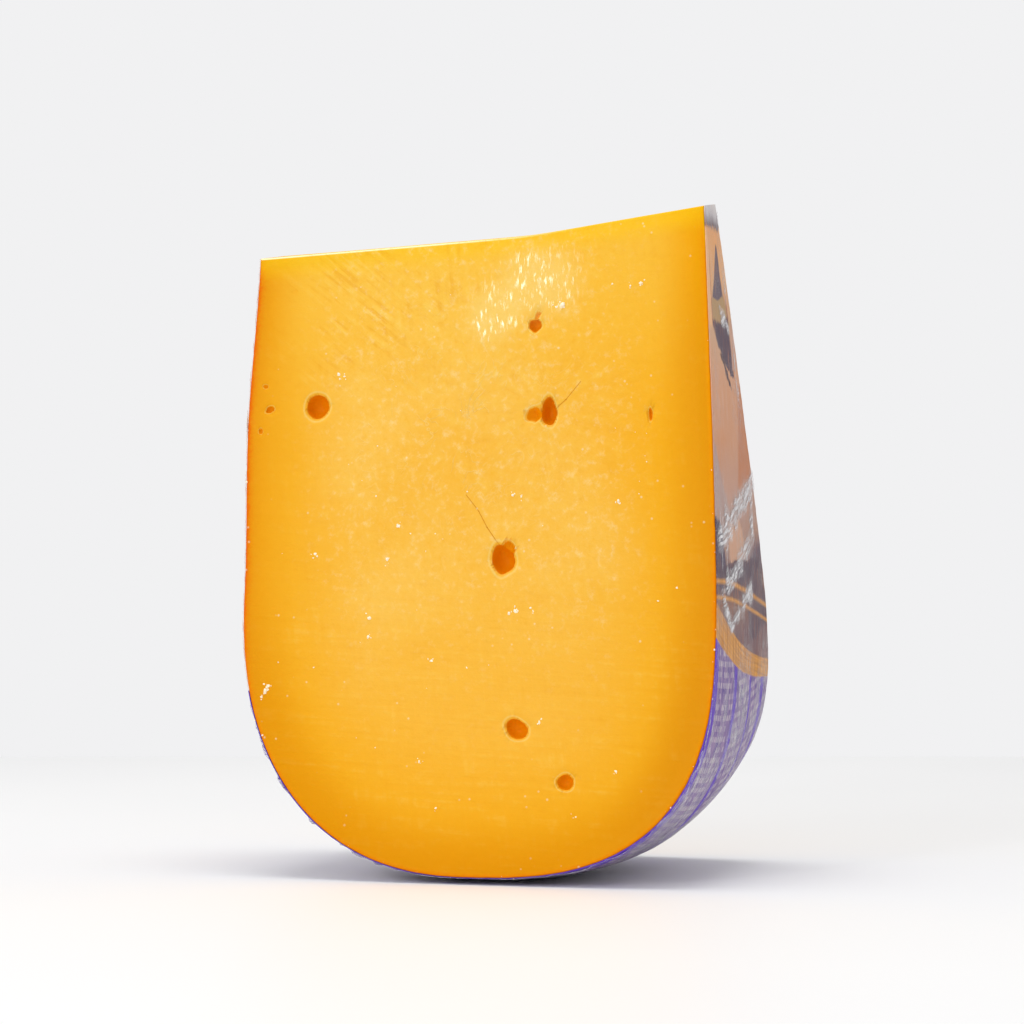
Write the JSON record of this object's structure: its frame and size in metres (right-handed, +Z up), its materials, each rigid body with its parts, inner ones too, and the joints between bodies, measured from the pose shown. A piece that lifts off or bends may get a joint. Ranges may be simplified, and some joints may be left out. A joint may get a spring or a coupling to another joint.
{
  "type": "cheese wedge",
  "caption": "Wedge cut from a round of aged semi-hard cheese, standing on its rim, with two radial cut faces, a printed paper label and a clear outer film.",
  "frame": {"origin": "middle of the small flat patch of the rim that the wedge rests on", "axes": "+Z up; X along the axis of the whole wheel, +X towards the labelled side; the front cut face looks along -Y, leaning back"},
  "size_m": [0.1183, 0.0788, 0.1586],
  "materials": {
    "cheese": "satin, slightly oily cut paste with an orange rind",
    "label": "printed paper, satin",
    "film": "clear, glossy and creased"
  },
  "bodies": {
    "root": {"cheese": "cheese", "label": "label", "film": "film"}
  },
  "joints": []
}
